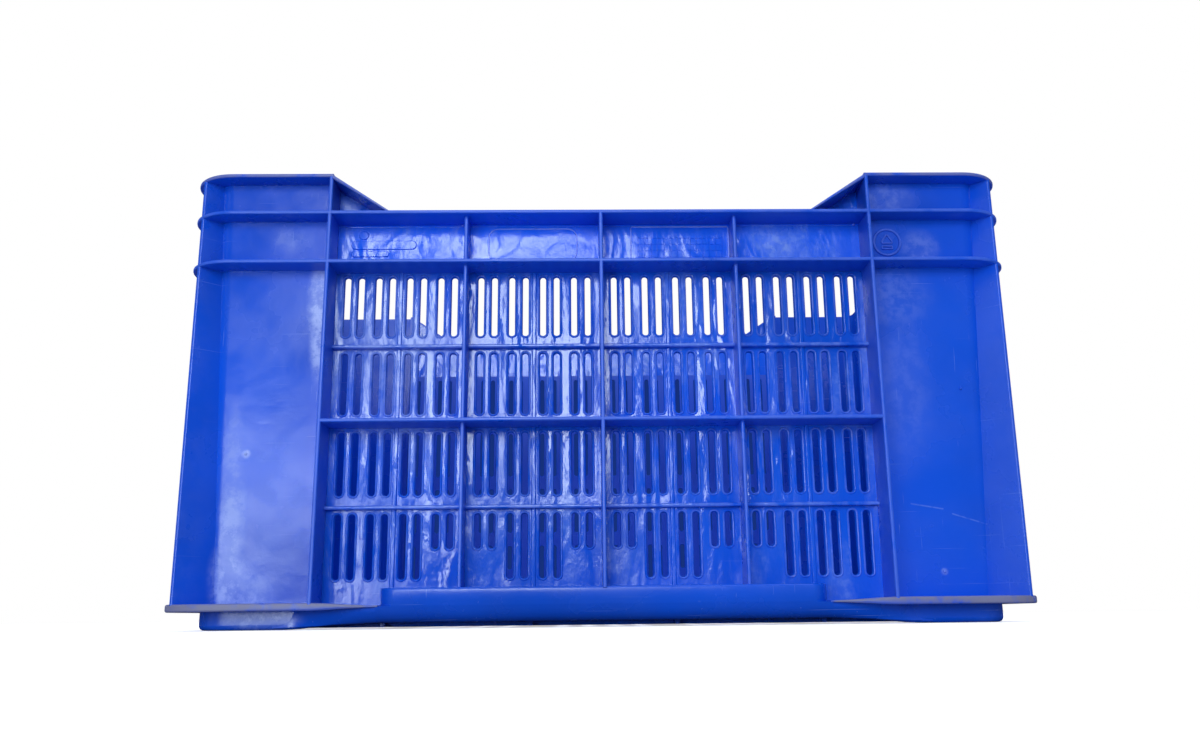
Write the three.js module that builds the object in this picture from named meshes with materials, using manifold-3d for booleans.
// Stackable, ventilated transport crate moulded in blue HDPE, open at the top, 540 x 360 x 290 mm.
// Millimetres, +Z up, origin at the middle of the footprint. X runs along the long side, the front
// faces -Y. The moulding is split into its named regions: four wall groups, four corners, one floor.
//
// Each wall is drawn in a frame of its own, standing in front of the crate's middle and facing -Y.
// "reach" is the distance from the middle to the wall's outermost plane, "half" is half its length,
// and an "inset" is a depth measured inwards from that outermost plane.

import * as THREE from "three";
import { mergeVertices } from "three/addons/utils/BufferGeometryUtils.js";
import Module from "manifold-3d";

const wasm = await Module();
wasm.setup();

// ---- driving dimensions ----

const LENGTH = 540;
const WIDTH = 360;
const HEIGHT = 290;

const SKIN = 2.4; // thickness of every wall
const RIB = 2.4; // thickness of every stiffening rib
const GAP = 0.3; // clearance between neighbouring regions
const OVERLAP = 1; // how far two blocks of one region, or a cutter, run past each other
const ARC_STEPS = 4; // straight steps in a quarter turn
const RIM_RADIUS = 30; // plan radius of the rims at the corners
const POST_RADIUS = 12; // plan radius of the corner post's skin

// Heights of the tops of the horizontal ribs.
const RIM_TOP = HEIGHT;
const LOW_RIM_TOP = 264.4;
const BELT_TOP = 231;
const ROW_PITCH = 52;
const MIDDLE_RIB_TOP = BELT_TOP - 2 * ROW_PITCH;
const SILL_TOP = 24;
const FLANGE_TOP = 15.7;
const FLANGE_BOTTOM = 11;
const FOOT_TOP = 11.3;
const SKIN_BOTTOM = FOOT_TOP + GAP;
const SKIN_TOP = RIM_TOP - RIB - GAP;

// Depth of the halving joints where horizontal ribs cross upright ones.
const HALVING = 8;
const SHOULDER_CUT = 3.8; // length of the flat end of the sloping shoulder on the low rim

// Columns of slots. Each holds four pairs of slots in each of the four rows.
const COLUMN_PITCH = 88;
const PAIR_PITCH = 20.5;
const SLOT_PITCH = 9;
const SLOT_WIDTH = 4.8;
const SLOT_LENGTH = 40.6;
const SHORT_SLOT_LENGTH = 22;
const SLOT_DROP = 5; // from a rib's top to the top of the slots under it
const RIDGE_PROUD = 5;
const INNER_UPRIGHT_INSET = 6; // how far the slimmer uprights stand behind the main ones

// Sill and feet.
const SILL_INSET = 2;
const SILL_RADIUS = 17;
const SILL_BOTTOM = 3.5;
const SILL_SHORTER = 38.6; // the sill ends this far before the main uprights
const FOOT_INSET = 18;
const FOOT_WIDTH = 12;
const FOOT_RADIUS = 20;
const FOOT_LIFT = 4; // the feet rise by this much towards the sills
const FOOT_RISE_START = 12; // from the sill's end, where the rise is full
const FOOT_RISE_END = 60; // from the sill's end, where the foot stands on the floor
const FIN_WIDTH = 3;
const FIN_TIP = 1.7; // the corner fin stops this far inside the rim, in X and in Y

// Hand-hold in each end.
const GRIP_LENGTH = 116;
const GRIP_HEIGHT = 25;
const GRIP_RADIUS = 12;
const GRIP_LIP = 10;

// Floor.
const FLOOR_BOTTOM = 3.5;
const FLOOR_TOP = 6.5;
const FLOOR_COLUMNS = 5;
const FLOOR_ROWS = 5;
const FLOOR_SLOT_WIDTH = 8;
const FLOOR_SLOT_PITCH = 18;
const FLOOR_SLOTS_PER_CELL = 4;
const FLOOR_RIB = 10; // width of the solid strips between the cells

// The two kinds of wall. Insets run linearly from the skin's bottom to its top.
const LONG_WALL = {
  reach: WIDTH / 2,
  half: LENGTH / 2,
  columns: 4,
  field: { top: 22.5, bottom: 26.4 },
  bay: { top: 14, bottom: 27 },
};
const END_WALL = {
  reach: LENGTH / 2,
  half: WIDTH / 2,
  columns: 2,
  field: { top: 26, bottom: 28 },
  bay: { top: 15, bottom: 19.5 },
};

const MATERIAL_COLOUR = 0x1446d2;

// ---- solids ----

function toSolid(geometry) {
  const bare = new THREE.BufferGeometry();
  bare.setAttribute("position", geometry.getAttribute("position"));
  bare.setIndex(geometry.index);
  const merged = mergeVertices(bare, 1e-4);
  return new wasm.Manifold(
    new wasm.Mesh({
      numProp: 3,
      vertProperties: new Float32Array(merged.attributes.position.array),
      triVerts: new Uint32Array(merged.index.array),
    }),
  );
}

function toGeometry(solid) {
  const mesh = solid.getMesh();
  const geometry = new THREE.BufferGeometry();
  geometry.setAttribute("position", new THREE.BufferAttribute(mesh.vertProperties, 3));
  geometry.setIndex(new THREE.BufferAttribute(mesh.triVerts, 1));
  geometry.computeVertexNormals();
  return geometry;
}

const join = (...solids) => solids.reduce((whole, next) => whole.add(next));
const cut = (solid, ...tools) => tools.reduce((left, tool) => left.subtract(tool), solid);

function block([x0, x1], [y0, y1], [z0, z1]) {
  const geometry = new THREE.BoxGeometry(x1 - x0, y1 - y0, z1 - z0);
  return toSolid(geometry.translate((x0 + x1) / 2, (y0 + y1) / 2, (z0 + z1) / 2));
}

// A plan outline extruded upwards.
function slab(shape, [z0, z1]) {
  const geometry = new THREE.ExtrudeGeometry(shape, {
    depth: z1 - z0,
    bevelEnabled: false,
    curveSegments: ARC_STEPS,
  });
  return toSolid(geometry.translate(0, 0, z0));
}

// An outline drawn in (x, z), extruded from y0 to y1.
function uprightSlab(shape, [y0, y1]) {
  const geometry = new THREE.ExtrudeGeometry(shape, {
    depth: y1 - y0,
    bevelEnabled: false,
    curveSegments: ARC_STEPS,
  });
  return toSolid(geometry.rotateX(Math.PI / 2).translate(0, y1, 0));
}

// An outline drawn in (y, z), extruded from x0 to x1.
function profileSlab(points, [x0, x1]) {
  const shape = new THREE.Shape(points.map(([y, z]) => new THREE.Vector2(y, z)));
  const geometry = new THREE.ExtrudeGeometry(shape, { depth: x1 - x0, bevelEnabled: false });
  geometry.rotateX(Math.PI / 2).rotateZ(Math.PI / 2);
  return toSolid(geometry.translate(x0, 0, 0));
}

function polygon(points) {
  return new THREE.Shape(points.map(([x, y]) => new THREE.Vector2(x, y)));
}

// A quarter turn about a centre.
function arcPoints(centreX, centreY, radius, from, to) {
  return Array.from({ length: ARC_STEPS + 1 }, (_, i) => {
    const angle = from + ((to - from) * i) / ARC_STEPS;
    return [centreX + radius * Math.cos(angle), centreY + radius * Math.sin(angle)];
  });
}

// A rounded rectangle about the origin, as a Shape or as the Path of a hole.
function roundedRectangle(halfX, halfY, radius, Kind = THREE.Shape) {
  const outline = new Kind();
  outline.absarc(halfX - radius, halfY - radius, radius, 0, Math.PI / 2);
  outline.absarc(radius - halfX, halfY - radius, radius, Math.PI / 2, Math.PI);
  outline.absarc(radius - halfX, radius - halfY, radius, Math.PI, 1.5 * Math.PI);
  outline.absarc(halfX - radius, radius - halfY, radius, 1.5 * Math.PI, 2 * Math.PI);
  outline.closePath();
  return outline;
}

// ---- lines shared by the walls ----

// Inset of a drafted skin's outer face at height z.
function insetAt(draft, z) {
  const share = (z - SKIN_BOTTOM) / (SKIN_TOP - SKIN_BOTTOM);
  return draft.bottom + share * (draft.top - draft.bottom);
}

const otherWall = (wall) => (wall === LONG_WALL ? END_WALL : LONG_WALL);
const fieldHalf = (wall) => (wall.columns * COLUMN_PITCH) / 2;
const sillHalf = (wall) => fieldHalf(wall) - SILL_SHORTER;
const clearOfUpright = RIB / 2 + GAP;

// A ring round the whole crate in plan, from one inset to another, seen in a wall's frame.
function ring(wall, outer, inner, heights) {
  const shape = roundedRectangle(
    wall.half - outer.side,
    wall.reach - outer.front,
    outer.radius,
  );
  const hole = roundedRectangle(
    wall.half - inner.side,
    wall.reach - inner.front,
    inner.radius,
    THREE.Path,
  );
  shape.holes.push(hole);
  return slab(shape, heights);
}

// The part of the plan that belongs to a wall: what lies between the diagonals of its corners.
function mitre(wall, clearance) {
  const apex = wall.half - wall.reach - clearance * Math.SQRT2;
  const far = 2 * LENGTH;
  const shape = polygon([
    [0, apex],
    [-far, apex - far],
    [far, apex - far],
  ]);
  return slab(shape, [-OVERLAP, HEIGHT + OVERLAP]);
}

// A ring's share of one wall, outside the posts' skin and clear of the corner fins.
function ribRing(wall, top) {
  const outer = { side: 0, front: 0, radius: RIM_RADIUS };
  const inner = {
    side: insetAt(otherWall(wall).bay, top) - GAP,
    front: insetAt(wall.bay, top) - GAP,
    radius: POST_RADIUS + GAP,
  };
  const whole = ring(wall, outer, inner, [top - RIB, top]);
  return whole.intersect(mitre(wall, FIN_WIDTH / 2 + GAP));
}

// The places of a wall's uprights, with the inset of each one's front edge.
function uprights(wall) {
  const places = [];
  for (let i = 0; i <= wall.columns; i++) {
    const isMain = i === 0 || i === wall.columns;
    const isMiddle = 2 * i === wall.columns;
    places.push({
      x: (i - wall.columns / 2) * COLUMN_PITCH,
      isMain,
      front: isMain || isMiddle ? 0 : INNER_UPRIGHT_INSET,
    });
  }
  return places;
}

// Halving notches in the back of a horizontal rib, one for each upright that crosses it.
function notchesForUprights(wall, top, crossing) {
  return crossing.map(({ x }) =>
    block(
      [x - clearOfUpright, x + clearOfUpright],
      [-wall.reach + HALVING - GAP, 0],
      [top - RIB - OVERLAP, top + OVERLAP],
    ),
  );
}

// ---- regions of a wall ----

// A drafted skin panel, from -half to half along the wall.
function skinPanel(wall, half, [z0, z1]) {
  const outer = (z) => -wall.reach + insetAt(wall.field, z);
  const profile = [
    [outer(z0), z0],
    [outer(z0) + SKIN, z0],
    [outer(z1) + SKIN, z1],
    [outer(z1), z1],
  ];
  return profileSlab(profile, [-half, half]);
}

// A straight hole through any skin of a wall.
function through(wall, [x0, x1], [z0, z1]) {
  return block([x0, x1], [-wall.reach, -wall.reach + wall.field.bottom + 2 * SKIN], [z0, z1]);
}

// In the lowest row the pairs next to an inner upright are short.
function isShortPair(wall, column, pair) {
  const nextToMain = (column === 0 && pair === 0) || (column === wall.columns - 1 && pair === 3);
  return (pair === 0 || pair === 3) && !nextToMain;
}

function slotHoles(wall) {
  const holes = [];
  for (let row = 0; row < 4; row++)
    for (let column = 0; column < wall.columns; column++)
      for (let pair = 0; pair < 4; pair++)
        for (const side of [-1, 1]) {
          const middle = (column - (wall.columns - 1) / 2) * COLUMN_PITCH;
          const x = middle + (pair - 1.5) * PAIR_PITCH + (side * SLOT_PITCH) / 2;
          const top = BELT_TOP - row * ROW_PITCH - SLOT_DROP;
          const isShort = row === 3 && isShortPair(wall, column, pair);
          const length = isShort ? SHORT_SLOT_LENGTH : SLOT_LENGTH;
          const across = [x - SLOT_WIDTH / 2, x + SLOT_WIDTH / 2];
          holes.push(through(wall, across, [top - length, top]));
        }
  return holes;
}

// Low ridges between the rows of slots, one for each column.
function ridges(wall) {
  const solids = [];
  for (const row of [1, 3])
    for (let column = 0; column < wall.columns; column++) {
      const middle = (column - (wall.columns - 1) / 2) * COLUMN_PITCH;
      const reach = COLUMN_PITCH / 2 - clearOfUpright;
      const top = BELT_TOP - row * ROW_PITCH;
      const back = -wall.reach + insetAt(wall.field, top) + SKIN / 2;
      solids.push(
        block([middle - reach, middle + reach], [back - RIDGE_PROUD - SKIN / 2, back], [top - RIB, top]),
      );
    }
  return solids;
}

function slottedPanel(wall) {
  const half = fieldHalf(wall) - clearOfUpright;
  const heights = [SKIN_BOTTOM, BELT_TOP - RIB - GAP];
  return join(cut(skinPanel(wall, half, heights), ...slotHoles(wall)), ...ridges(wall));
}

function labelPanel(wall) {
  const half = fieldHalf(wall) - clearOfUpright;
  return skinPanel(wall, half, [BELT_TOP + GAP, LOW_RIM_TOP - RIB - GAP]);
}

// The rounded hand-hold, with a lip round it that stands out towards the hand.
function handlePanel(wall) {
  const height = (BELT_TOP + LOW_RIM_TOP - RIB) / 2;
  const grip = (grow) => {
    const halfX = GRIP_LENGTH / 2 + grow;
    const halfZ = GRIP_HEIGHT / 2 + grow;
    const points = roundedRectangle(halfX, halfZ, GRIP_RADIUS + grow).getPoints(ARC_STEPS);
    return new THREE.Shape(points.map((point) => point.add(new THREE.Vector2(0, height))));
  };
  const front = -wall.reach + insetAt(wall.field, height) - GRIP_LIP;
  const lip = uprightSlab(grip(SKIN), [front, front + GRIP_LIP + SKIN / 2]);
  const opening = uprightSlab(grip(0), [-wall.reach, 0]);
  const half = fieldHalf(wall) - clearOfUpright;
  const heights = [BELT_TOP + GAP, LOW_RIM_TOP - RIB - GAP];
  return cut(join(skinPanel(wall, half, heights), lip), opening);
}

// A rib that runs round the crate: outside the posts, and through to the inner face in the field.
function perimeterRib(wall, top, crossing) {
  const half = fieldHalf(wall) + clearOfUpright;
  const innerFace = -wall.reach + insetAt(wall.field, top) + SKIN;
  const field = block([-half, half], [-wall.reach + HALVING / 2, innerFace], [top - RIB, top]);
  return cut(join(ribRing(wall, top), field), ...notchesForUprights(wall, top, crossing));
}

function lowRim(wall) {
  const crossing = uprights(wall).filter(({ isMain }) => isMain);
  return perimeterRib(wall, LOW_RIM_TOP, crossing);
}

// On the ends the middle upright stops under the belt rib, below the hand-hold.
function beltRib(wall) {
  const crossing = uprights(wall).filter(({ isMain }) => isMain || wall === LONG_WALL);
  return perimeterRib(wall, BELT_TOP, crossing);
}

function middleRib(wall) {
  const top = MIDDLE_RIB_TOP;
  const half = fieldHalf(wall) - clearOfUpright;
  const rib = block(
    [-half, half],
    [-wall.reach, -wall.reach + insetAt(wall.field, top) - GAP],
    [top - RIB, top],
  );
  const crossing = uprights(wall).filter(({ isMain }) => !isMain);
  return cut(rib, ...notchesForUprights(wall, top, crossing));
}

// The rounded sill is a shell: a ledge on top, a curved face, a bottom and an upstand below the skin.
function sill(wall) {
  const at = (inset) => -wall.reach + inset;
  const centre = [at(SILL_INSET + SILL_RADIUS), SILL_BOTTOM + SILL_RADIUS];
  const back = FOOT_INSET + FOOT_WIDTH;
  const ledgeBack = at(insetAt(wall.field, SILL_TOP) - GAP);
  const outer = arcPoints(...centre, SILL_RADIUS, Math.PI, 1.5 * Math.PI);
  const inner = arcPoints(...centre, SILL_RADIUS - SKIN, 1.5 * Math.PI, Math.PI);
  const profile = [
    [ledgeBack, SILL_TOP],
    [at(SILL_INSET), SILL_TOP],
    ...outer,
    [at(back), SILL_BOTTOM],
    [at(back), FOOT_TOP],
    [at(back - SKIN), FOOT_TOP],
    [at(back - SKIN), SILL_BOTTOM + SKIN],
    ...inner,
    [at(SILL_INSET + SKIN), SILL_TOP - SKIN],
    [ledgeBack, SILL_TOP - SKIN],
  ];
  return profileSlab(profile, [-sillHalf(wall) + GAP, sillHalf(wall) - GAP]);
}

// An upright rib. Main ones pass between the skins, from the base flange to under the top rim.
function upright(wall, { x, isMain, front }) {
  const bottom = isMain ? FLANGE_TOP + GAP : SILL_TOP + GAP;
  const lowTop = wall === LONG_WALL ? LOW_RIM_TOP : BELT_TOP;
  const top = isMain ? SKIN_TOP : lowTop - RIB - GAP;
  const behind = isMain ? SKIN : -GAP;
  const back = (z) => -wall.reach + insetAt(wall.field, z) + behind;
  const profile = [
    [-wall.reach + front, bottom],
    [back(bottom), bottom],
    [back(top), top],
    [-wall.reach + front, top],
  ];
  const rib = profileSlab(profile, [x - RIB / 2, x + RIB / 2]);
  const crossed = isMain ? [LOW_RIM_TOP, BELT_TOP] : [BELT_TOP, MIDDLE_RIB_TOP];
  const notches = crossed.map((ribTop) =>
    block(
      [x - RIB, x + RIB],
      [-wall.reach - OVERLAP, -wall.reach + HALVING],
      [ribTop - RIB - GAP, ribTop + GAP],
    ),
  );
  return cut(rib, ...notches);
}

// The raised rim of an end, with the skin that hangs from its middle.
function topRim(wall) {
  const across = otherWall(wall);
  const outer = { side: 0, front: 0, radius: RIM_RADIUS };
  const inner = {
    side: across.bay.top + SKIN,
    front: wall.bay.top + SKIN,
    radius: POST_RADIUS - SKIN,
  };
  const heights = [RIM_TOP - RIB, RIM_TOP];
  const rim = ring(wall, outer, inner, heights).intersect(mitre(wall, GAP / 2));
  const half = fieldHalf(wall) + clearOfUpright;
  const backOfField = -wall.reach + wall.field.top + SKIN;
  const field = block([-half, half], [-wall.reach + HALVING, backOfField], heights);
  const skinHeights = [LOW_RIM_TOP + GAP, RIM_TOP - RIB / 2];
  const skin = skinPanel(wall, fieldHalf(wall) - clearOfUpright, skinHeights);
  return join(rim, field, skin);
}

// ---- regions of a corner, drawn for the corner at (+X, -Y) ----

// The raised rim beside a corner, and the shoulder that slopes down to the low rim.
function shoulder(wall) {
  const outer = { side: 0, front: 0, radius: RIM_RADIUS };
  const inner = {
    side: otherWall(wall).bay.top + SKIN,
    front: wall.bay.top + SKIN,
    radius: POST_RADIUS - SKIN,
  };
  const heights = [RIM_TOP - RIB, RIM_TOP];
  const inside = fieldHalf(wall) - clearOfUpright;
  const share = block([inside, LENGTH], [-LENGTH, 0], [0, 2 * HEIGHT]);
  const rim = ring(wall, outer, inner, heights).intersect(mitre(wall, GAP / 2)).intersect(share);
  const back = -wall.reach + wall.field.top + SKIN;
  const overUpright = block([inside, fieldHalf(wall) + clearOfUpright], [-wall.reach, back], heights);
  const foot = LOW_RIM_TOP + GAP;
  const slope = uprightSlab(
    polygon([
      [inside + OVERLAP, RIM_TOP],
      [inside, RIM_TOP],
      [sillHalf(wall), foot],
      [sillHalf(wall) + SHOULDER_CUT, foot],
      [inside, RIM_TOP - RIB],
      [inside + OVERLAP, RIM_TOP - RIB],
    ]),
    [-wall.reach, back],
  );
  const web = uprightSlab(
    polygon([
      [sillHalf(wall) + SHOULDER_CUT - OVERLAP, foot],
      [inside, foot],
      [inside, RIM_TOP - RIB / 2],
    ]),
    [back - SKIN, back],
  );
  return join(rim, overUpright, slope, web);
}

// One face of the post's skin in plan at height z, "deep" mm inside its outer face. It runs from the
// long side's main upright round to the end's.
function postFace(z, deep) {
  const side = LENGTH / 2 - insetAt(END_WALL.bay, z) - deep;
  const front = WIDTH / 2 - insetAt(LONG_WALL.bay, z) - deep;
  const radius = POST_RADIUS - deep;
  const arc = arcPoints(side - radius, radius - front, radius, -Math.PI / 2, 0);
  const x0 = fieldHalf(LONG_WALL) + clearOfUpright;
  const y0 = fieldHalf(END_WALL) + clearOfUpright;
  return [[x0, -front], ...arc, [side, -y0]];
}

// A closed solid between two outlines that have the same number of points.
function loft(lower, upper, [z0, z1]) {
  const count = lower.length;
  const vertices = [...lower.map((p) => [...p, z0]), ...upper.map((p) => [...p, z1])];
  const flat = lower.map(([x, y]) => new THREE.Vector2(x, y));
  const caps = THREE.ShapeUtils.triangulateShape(flat, []);
  const faces = [];
  for (const [a, b, c] of caps) {
    faces.push(c, b, a);
    faces.push(a + count, b + count, c + count);
  }
  for (let i = 0; i < count; i++) {
    const j = (i + 1) % count;
    faces.push(i, j, j + count, i, j + count, i + count);
  }
  const geometry = new THREE.BufferGeometry();
  geometry.setAttribute("position", new THREE.Float32BufferAttribute(vertices.flat(), 3));
  geometry.setIndex(faces);
  return toSolid(geometry);
}

// The post's smooth skin, with a fin that stands out of its corner on the diagonal.
function post() {
  const heights = [SKIN_BOTTOM, SKIN_TOP];
  const shell = (z) => [...postFace(z, 0), ...postFace(z, SKIN).reverse()];
  const insideCorner = [fieldHalf(LONG_WALL), -fieldHalf(END_WALL)];
  const inside = (z) => [...postFace(z, SKIN / 2), insideCorner];
  const skin = loft(...heights.map(shell), heights);
  const room = loft(...heights.map(inside), heights);
  const tip = RIM_RADIUS * Math.SQRT1_2 - FIN_TIP; // from the rim's centre, in X and in Y
  const root = -POST_RADIUS / 2;
  const finBottom = FLANGE_TOP + GAP;
  const fin = new THREE.BoxGeometry((tip - root) * Math.SQRT2, FIN_WIDTH, SKIN_TOP - finBottom);
  fin.rotateZ(-Math.PI / 4);
  fin.translate(
    LENGTH / 2 - RIM_RADIUS + (tip + root) / 2,
    RIM_RADIUS - WIDTH / 2 - (tip + root) / 2,
    (SKIN_TOP + finBottom) / 2,
  );
  return join(cut(toSolid(fin), room), skin);
}

// The flange round the base of a corner, between the skins and the outermost plane.
function baseFlange() {
  const heights = [FLANGE_BOTTOM, FLANGE_TOP];
  const longInset = Math.min(
    insetAt(LONG_WALL.bay, FLANGE_TOP),
    insetAt(LONG_WALL.field, FLANGE_TOP),
  );
  const inner = {
    side: insetAt(END_WALL.bay, FLANGE_TOP) - GAP,
    front: longInset - GAP,
    radius: POST_RADIUS + GAP,
  };
  const outer = { side: 0, front: 0, radius: RIM_RADIUS };
  const besideEndField = block(
    [LENGTH / 2 - insetAt(END_WALL.field, FLANGE_TOP) + GAP, LENGTH / 2 - SILL_INSET],
    [-fieldHalf(END_WALL) - clearOfUpright, 0],
    heights,
  );
  return join(ring(LONG_WALL, outer, inner, heights), besideEndField);
}

// An L-shaped foot under the flange. Its underside rises towards the sills.
function footBar() {
  const inset = FOOT_INSET + FOOT_WIDTH;
  const outer = { side: FOOT_INSET, front: FOOT_INSET, radius: FOOT_RADIUS };
  const inner = { side: inset, front: inset, radius: FOOT_RADIUS - FOOT_WIDTH };
  const rise = (start) => [
    [start, -OVERLAP],
    [start + FOOT_RISE_END, -OVERLAP],
    [start + FOOT_RISE_END, 0],
    [start + FOOT_RISE_START, FOOT_LIFT],
    [start, FOOT_LIFT],
  ];
  const underLong = uprightSlab(polygon(rise(sillHalf(LONG_WALL))), [-WIDTH / 2, -WIDTH / 3]);
  const alongEnd = rise(sillHalf(END_WALL)).map(([y, z]) => [-y, z]);
  const underEnd = profileSlab(alongEnd.reverse(), [LENGTH / 3, LENGTH / 2]);
  return cut(ring(LONG_WALL, outer, inner, [0, FOOT_TOP]), underLong, underEnd);
}

function foot() {
  const corner = block(
    [sillHalf(LONG_WALL) + GAP, LENGTH],
    [-LENGTH, -sillHalf(END_WALL) - GAP],
    [-OVERLAP, HEIGHT],
  );
  return join(baseFlange(), footBar()).intersect(corner);
}

// ---- floor ----

function floorGrid() {
  const halfX = LENGTH / 2 - FOOT_INSET - FOOT_WIDTH - GAP;
  const halfY = WIDTH / 2 - FOOT_INSET - FOOT_WIDTH - GAP;
  const plate = slab(roundedRectangle(halfX, halfY, FOOT_RADIUS - FOOT_WIDTH), [FLOOR_BOTTOM, FLOOR_TOP]);
  const holes = [];
  const pitchX = (2 * (halfX - FLOOR_RIB)) / FLOOR_COLUMNS;
  const pitchY = (2 * (halfY - FLOOR_RIB)) / FLOOR_ROWS;
  for (let i = 0; i < FLOOR_COLUMNS; i++)
    for (let j = 0; j < FLOOR_ROWS; j++)
      for (let k = 0; k < FLOOR_SLOTS_PER_CELL; k++) {
        const cellX = (i - (FLOOR_COLUMNS - 1) / 2) * pitchX;
        const cellY = (j - (FLOOR_ROWS - 1) / 2) * pitchY;
        const x = cellX + (k - (FLOOR_SLOTS_PER_CELL - 1) / 2) * FLOOR_SLOT_PITCH;
        const reach = (pitchY - FLOOR_RIB) / 2;
        const across = [x - FLOOR_SLOT_WIDTH / 2, x + FLOOR_SLOT_WIDTH / 2];
        holes.push(block(across, [cellY - reach, cellY + reach], [0, HEIGHT]));
      }
  return cut(plate, ...holes);
}

// ---- assembly ----

const hdpe = new THREE.MeshStandardMaterial({
  color: MATERIAL_COLOUR,
  roughness: 0.28,
  metalness: 0,
});

function named(name, solid) {
  const mesh = new THREE.Mesh(toGeometry(solid), hdpe);
  mesh.name = name;
  return mesh;
}

function wallGroup(name, wall, turn) {
  const group = new THREE.Group();
  group.rotation.z = turn;
  group.add(named(name + "_slotted_panel", slottedPanel(wall)));
  group.add(named(name + "_low_rim", lowRim(wall)));
  group.add(named(name + "_belt_rib", beltRib(wall)));
  group.add(named(name + "_middle_rib", middleRib(wall)));
  group.add(named(name + "_sill", sill(wall)));
  uprights(wall).forEach((place, i) => {
    group.add(named(name + "_upright_" + (i + 1), upright(wall, place)));
  });
  if (wall === LONG_WALL) {
    group.add(named(name + "_label_panel", labelPanel(wall)));
  } else {
    group.add(named(name + "_handle_panel", handlePanel(wall)));
    group.add(named(name + "_top_rim", topRim(wall)));
  }
  return group;
}

function cornerGroup(name, mirrorX, mirrorY) {
  const group = new THREE.Group();
  group.scale.set(mirrorX, mirrorY, 1);
  group.add(named(name + "_post", post()));
  group.add(named(name + "_shoulder", shoulder(LONG_WALL)));
  group.add(named(name + "_foot", foot()));
  return group;
}

const crate = new THREE.Group();
crate.add(wallGroup("front", LONG_WALL, 0));
crate.add(wallGroup("rear", LONG_WALL, Math.PI));
crate.add(wallGroup("left", END_WALL, -Math.PI / 2));
crate.add(wallGroup("right", END_WALL, Math.PI / 2));
crate.add(cornerGroup("front_right", 1, 1));
crate.add(cornerGroup("front_left", -1, 1));
crate.add(cornerGroup("rear_right", 1, -1));
crate.add(cornerGroup("rear_left", -1, -1));
crate.add(named("floor_grid", floorGrid()));

export default crate;
